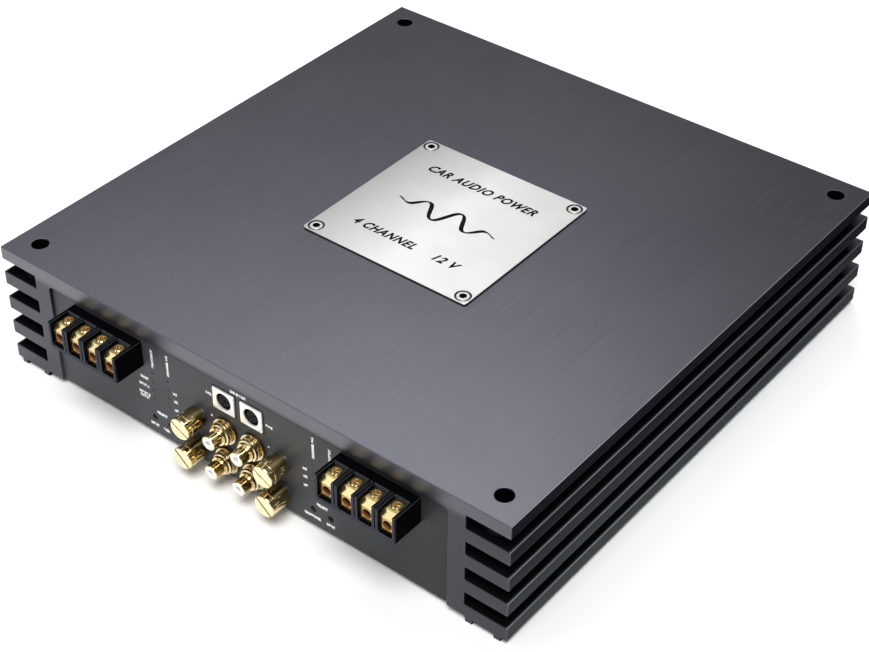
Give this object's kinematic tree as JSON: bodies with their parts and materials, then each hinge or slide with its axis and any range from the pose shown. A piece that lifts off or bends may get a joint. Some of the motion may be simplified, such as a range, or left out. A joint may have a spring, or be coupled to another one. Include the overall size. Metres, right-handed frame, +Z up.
{
  "type": "car amplifier",
  "caption": "Car audio amplifier: finned dark aluminium heatsink housing, speaker screw terminals, phono inputs, link sockets, level knobs and a square badge plate.",
  "frame": {"origin": "centre of the foot print, on the surface that the amplifier stands on", "axes": "+X to the right seen from the front, -Y towards the front with the knobs and jacks, +Z up"},
  "size_m": [0.34, 0.3748, 0.0788],
  "materials": {
    "anodised": "dark grey brushed anodised aluminium",
    "panel": "dark grey satin coated aluminium sheet",
    "cover": "black powder coated steel sheet",
    "steel": "zinc plated steel",
    "badge": "bright brushed aluminium with black filled engraving",
    "black_moulding": "black glass-filled nylon moulding",
    "gold": "gold plated brass",
    "frame_metal": "bright nickel plated brass",
    "white_moulding": "white moulded insulator",
    "button_black": "black moulded push button",
    "lamp": "dark tinted light guide",
    "board": "green lacquered circuit board",
    "winding": "tape and enamelled wire",
    "can": "sleeved aluminium can",
    "package": "black moulded transistor package",
    "pad": "grey silicone insulating pad"
  },
  "bodies": {
    "chassis": {"badge_plate": "badge", "badge_screws": "steel", "board_spacers": "gold", "bottom_cover": "cover", "clamp_bars": "steel", "cover_screws": "steel", "front_panel": "panel", "heatsink_housing": "anodised", "input_board": "board", "insulating_pads": "pad", "left_terminal_housing": "black_moulding", "level_pots": "steel", "machine_screws": "steel", "main_board": "board", "output_coils": "winding", "output_transistors": "package", "phono_contacts": "gold", "phono_insulators": "white_moulding", "phono_jacks": "gold", "power_terminal_housing": "black_moulding", "rear_panel": "panel", "right_terminal_housing": "black_moulding", "select_switches": "black_moulding", "socket_bodies": "black_moulding", "socket_frames": "frame_metal", "status_lamps": "lamp", "storage_capacitors": "can", "terminal_contacts": "gold", "transformer_clamps": "steel", "transformers": "winding"},
    "level_knob_1": {"level_knob_1": "gold"},
    "level_knob_2": {"level_knob_2": "gold"},
    "level_knob_3": {"level_knob_3": "gold"},
    "level_knob_4": {"level_knob_4": "gold"},
    "select_button_1": {"select_button_1": "button_black"},
    "select_button_2": {"select_button_2": "button_black"},
    "select_button_3": {"select_button_3": "button_black"},
    "select_button_4": {"select_button_4": "button_black"},
    "speaker_pressure_pad_1": {"speaker_pressure_pad_1": "gold"},
    "speaker_clamp_screw_1": {"speaker_clamp_screw_1": "gold"},
    "speaker_pressure_pad_2": {"speaker_pressure_pad_2": "gold"},
    "speaker_clamp_screw_2": {"speaker_clamp_screw_2": "gold"},
    "speaker_pressure_pad_3": {"speaker_pressure_pad_3": "gold"},
    "speaker_clamp_screw_3": {"speaker_clamp_screw_3": "gold"},
    "speaker_pressure_pad_4": {"speaker_pressure_pad_4": "gold"},
    "speaker_clamp_screw_4": {"speaker_clamp_screw_4": "gold"},
    "speaker_pressure_pad_5": {"speaker_pressure_pad_5": "gold"},
    "speaker_clamp_screw_5": {"speaker_clamp_screw_5": "gold"},
    "speaker_pressure_pad_6": {"speaker_pressure_pad_6": "gold"},
    "speaker_clamp_screw_6": {"speaker_clamp_screw_6": "gold"},
    "speaker_pressure_pad_7": {"speaker_pressure_pad_7": "gold"},
    "speaker_clamp_screw_7": {"speaker_clamp_screw_7": "gold"},
    "speaker_pressure_pad_8": {"speaker_pressure_pad_8": "gold"},
    "speaker_clamp_screw_8": {"speaker_clamp_screw_8": "gold"},
    "power_pressure_pad_1": {"power_pressure_pad_1": "gold"},
    "power_clamp_screw_1": {"power_clamp_screw_1": "gold"},
    "power_pressure_pad_2": {"power_pressure_pad_2": "gold"},
    "power_clamp_screw_2": {"power_clamp_screw_2": "gold"},
    "power_pressure_pad_3": {"power_pressure_pad_3": "gold"},
    "power_clamp_screw_3": {"power_clamp_screw_3": "gold"}
  },
  "joints": [
    {"name": "level_knob_1_turn", "type": "hinge", "parent": "chassis", "child": "level_knob_1", "pos_m": [-0.02835, -0.168, 0.0345], "axis": [0, 1, 0], "range_deg": [-150, 150]},
    {"name": "level_knob_2_turn", "type": "hinge", "parent": "chassis", "child": "level_knob_2", "pos_m": [-0.02835, -0.168, 0.0145], "axis": [0, 1, 0], "range_deg": [-150, 150]},
    {"name": "level_knob_3_turn", "type": "hinge", "parent": "chassis", "child": "level_knob_3", "pos_m": [0.02835, -0.168, 0.0345], "axis": [0, 1, 0], "range_deg": [-150, 150]},
    {"name": "level_knob_4_turn", "type": "hinge", "parent": "chassis", "child": "level_knob_4", "pos_m": [0.02835, -0.168, 0.0145], "axis": [0, 1, 0], "range_deg": [-150, 150]},
    {"name": "select_button_1_press", "type": "slide", "parent": "chassis", "child": "select_button_1", "axis": [0, 1, 0], "range_m": [0, 0.0013], "stiffness_N_per_m": 300, "springref_m": -0.001},
    {"name": "select_button_2_press", "type": "slide", "parent": "chassis", "child": "select_button_2", "axis": [0, 1, 0], "range_m": [0, 0.0013], "stiffness_N_per_m": 300, "springref_m": -0.001},
    {"name": "select_button_3_press", "type": "slide", "parent": "chassis", "child": "select_button_3", "axis": [0, 1, 0], "range_m": [0, 0.0013], "stiffness_N_per_m": 300, "springref_m": -0.001},
    {"name": "select_button_4_press", "type": "slide", "parent": "chassis", "child": "select_button_4", "axis": [0, 1, 0], "range_m": [0, 0.0013], "stiffness_N_per_m": 300, "springref_m": -0.001},
    {"name": "speaker_pressure_pad_1_travel", "type": "slide", "parent": "chassis", "child": "speaker_pressure_pad_1", "axis": [0, 0, -1], "range_m": [0, 0.004]},
    {"name": "speaker_clamp_screw_1_turn", "type": "hinge", "parent": "speaker_pressure_pad_1", "child": "speaker_clamp_screw_1", "pos_m": [-0.11066, -0.178, 0.0584], "axis": [0, 0, -1], "range_deg": [0, 1440]},
    {"name": "speaker_pressure_pad_2_travel", "type": "slide", "parent": "chassis", "child": "speaker_pressure_pad_2", "axis": [0, 0, -1], "range_m": [0, 0.004]},
    {"name": "speaker_clamp_screw_2_turn", "type": "hinge", "parent": "speaker_pressure_pad_2", "child": "speaker_clamp_screw_2", "pos_m": [-0.09826, -0.178, 0.0584], "axis": [0, 0, -1], "range_deg": [0, 1440]},
    {"name": "speaker_pressure_pad_3_travel", "type": "slide", "parent": "chassis", "child": "speaker_pressure_pad_3", "axis": [0, 0, -1], "range_m": [0, 0.004]},
    {"name": "speaker_clamp_screw_3_turn", "type": "hinge", "parent": "speaker_pressure_pad_3", "child": "speaker_clamp_screw_3", "pos_m": [-0.08586, -0.178, 0.0584], "axis": [0, 0, -1], "range_deg": [0, 1440]},
    {"name": "speaker_pressure_pad_4_travel", "type": "slide", "parent": "chassis", "child": "speaker_pressure_pad_4", "axis": [0, 0, -1], "range_m": [0, 0.004]},
    {"name": "speaker_clamp_screw_4_turn", "type": "hinge", "parent": "speaker_pressure_pad_4", "child": "speaker_clamp_screw_4", "pos_m": [-0.07346, -0.178, 0.0584], "axis": [0, 0, -1], "range_deg": [0, 1440]},
    {"name": "speaker_pressure_pad_5_travel", "type": "slide", "parent": "chassis", "child": "speaker_pressure_pad_5", "axis": [0, 0, -1], "range_m": [0, 0.004]},
    {"name": "speaker_clamp_screw_5_turn", "type": "hinge", "parent": "speaker_pressure_pad_5", "child": "speaker_clamp_screw_5", "pos_m": [0.07346, -0.178, 0.0584], "axis": [0, 0, -1], "range_deg": [0, 1440]},
    {"name": "speaker_pressure_pad_6_travel", "type": "slide", "parent": "chassis", "child": "speaker_pressure_pad_6", "axis": [0, 0, -1], "range_m": [0, 0.004]},
    {"name": "speaker_clamp_screw_6_turn", "type": "hinge", "parent": "speaker_pressure_pad_6", "child": "speaker_clamp_screw_6", "pos_m": [0.08586, -0.178, 0.0584], "axis": [0, 0, -1], "range_deg": [0, 1440]},
    {"name": "speaker_pressure_pad_7_travel", "type": "slide", "parent": "chassis", "child": "speaker_pressure_pad_7", "axis": [0, 0, -1], "range_m": [0, 0.004]},
    {"name": "speaker_clamp_screw_7_turn", "type": "hinge", "parent": "speaker_pressure_pad_7", "child": "speaker_clamp_screw_7", "pos_m": [0.09826, -0.178, 0.0584], "axis": [0, 0, -1], "range_deg": [0, 1440]},
    {"name": "speaker_pressure_pad_8_travel", "type": "slide", "parent": "chassis", "child": "speaker_pressure_pad_8", "axis": [0, 0, -1], "range_m": [0, 0.004]},
    {"name": "speaker_clamp_screw_8_turn", "type": "hinge", "parent": "speaker_pressure_pad_8", "child": "speaker_clamp_screw_8", "pos_m": [0.11066, -0.178, 0.0584], "axis": [0, 0, -1], "range_deg": [0, 1440]},
    {"name": "power_pressure_pad_1_travel", "type": "slide", "parent": "chassis", "child": "power_pressure_pad_1", "axis": [0, 0, -1], "range_m": [0, 0.00625]},
    {"name": "power_clamp_screw_1_turn", "type": "hinge", "parent": "power_pressure_pad_1", "child": "power_clamp_screw_1", "pos_m": [0.016, 0.1782, 0.0579], "axis": [0, 0, -1], "range_deg": [0, 1800]},
    {"name": "power_pressure_pad_2_travel", "type": "slide", "parent": "chassis", "child": "power_pressure_pad_2", "axis": [0, 0, -1], "range_m": [0, 0.00625]},
    {"name": "power_clamp_screw_2_turn", "type": "hinge", "parent": "power_pressure_pad_2", "child": "power_clamp_screw_2", "pos_m": [0, 0.1782, 0.0579], "axis": [0, 0, -1], "range_deg": [0, 1800]},
    {"name": "power_pressure_pad_3_travel", "type": "slide", "parent": "chassis", "child": "power_pressure_pad_3", "axis": [0, 0, -1], "range_m": [0, 0.00625]},
    {"name": "power_clamp_screw_3_turn", "type": "hinge", "parent": "power_pressure_pad_3", "child": "power_clamp_screw_3", "pos_m": [-0.016, 0.1782, 0.0579], "axis": [0, 0, -1], "range_deg": [0, 1800]}
  ],
  "couplings": [
    {"joint": "speaker_clamp_screw_1_turn", "follows": "speaker_pressure_pad_1_travel", "rad_per_m": 6283.2},
    {"joint": "speaker_clamp_screw_2_turn", "follows": "speaker_pressure_pad_2_travel", "rad_per_m": 6283.2},
    {"joint": "speaker_clamp_screw_3_turn", "follows": "speaker_pressure_pad_3_travel", "rad_per_m": 6283.2},
    {"joint": "speaker_clamp_screw_4_turn", "follows": "speaker_pressure_pad_4_travel", "rad_per_m": 6283.2},
    {"joint": "speaker_clamp_screw_5_turn", "follows": "speaker_pressure_pad_5_travel", "rad_per_m": 6283.2},
    {"joint": "speaker_clamp_screw_6_turn", "follows": "speaker_pressure_pad_6_travel", "rad_per_m": 6283.2},
    {"joint": "speaker_clamp_screw_7_turn", "follows": "speaker_pressure_pad_7_travel", "rad_per_m": 6283.2},
    {"joint": "speaker_clamp_screw_8_turn", "follows": "speaker_pressure_pad_8_travel", "rad_per_m": 6283.2},
    {"joint": "power_clamp_screw_1_turn", "follows": "power_pressure_pad_1_travel", "rad_per_m": 5026.5},
    {"joint": "power_clamp_screw_2_turn", "follows": "power_pressure_pad_2_travel", "rad_per_m": 5026.5},
    {"joint": "power_clamp_screw_3_turn", "follows": "power_pressure_pad_3_travel", "rad_per_m": 5026.5}
  ]
}
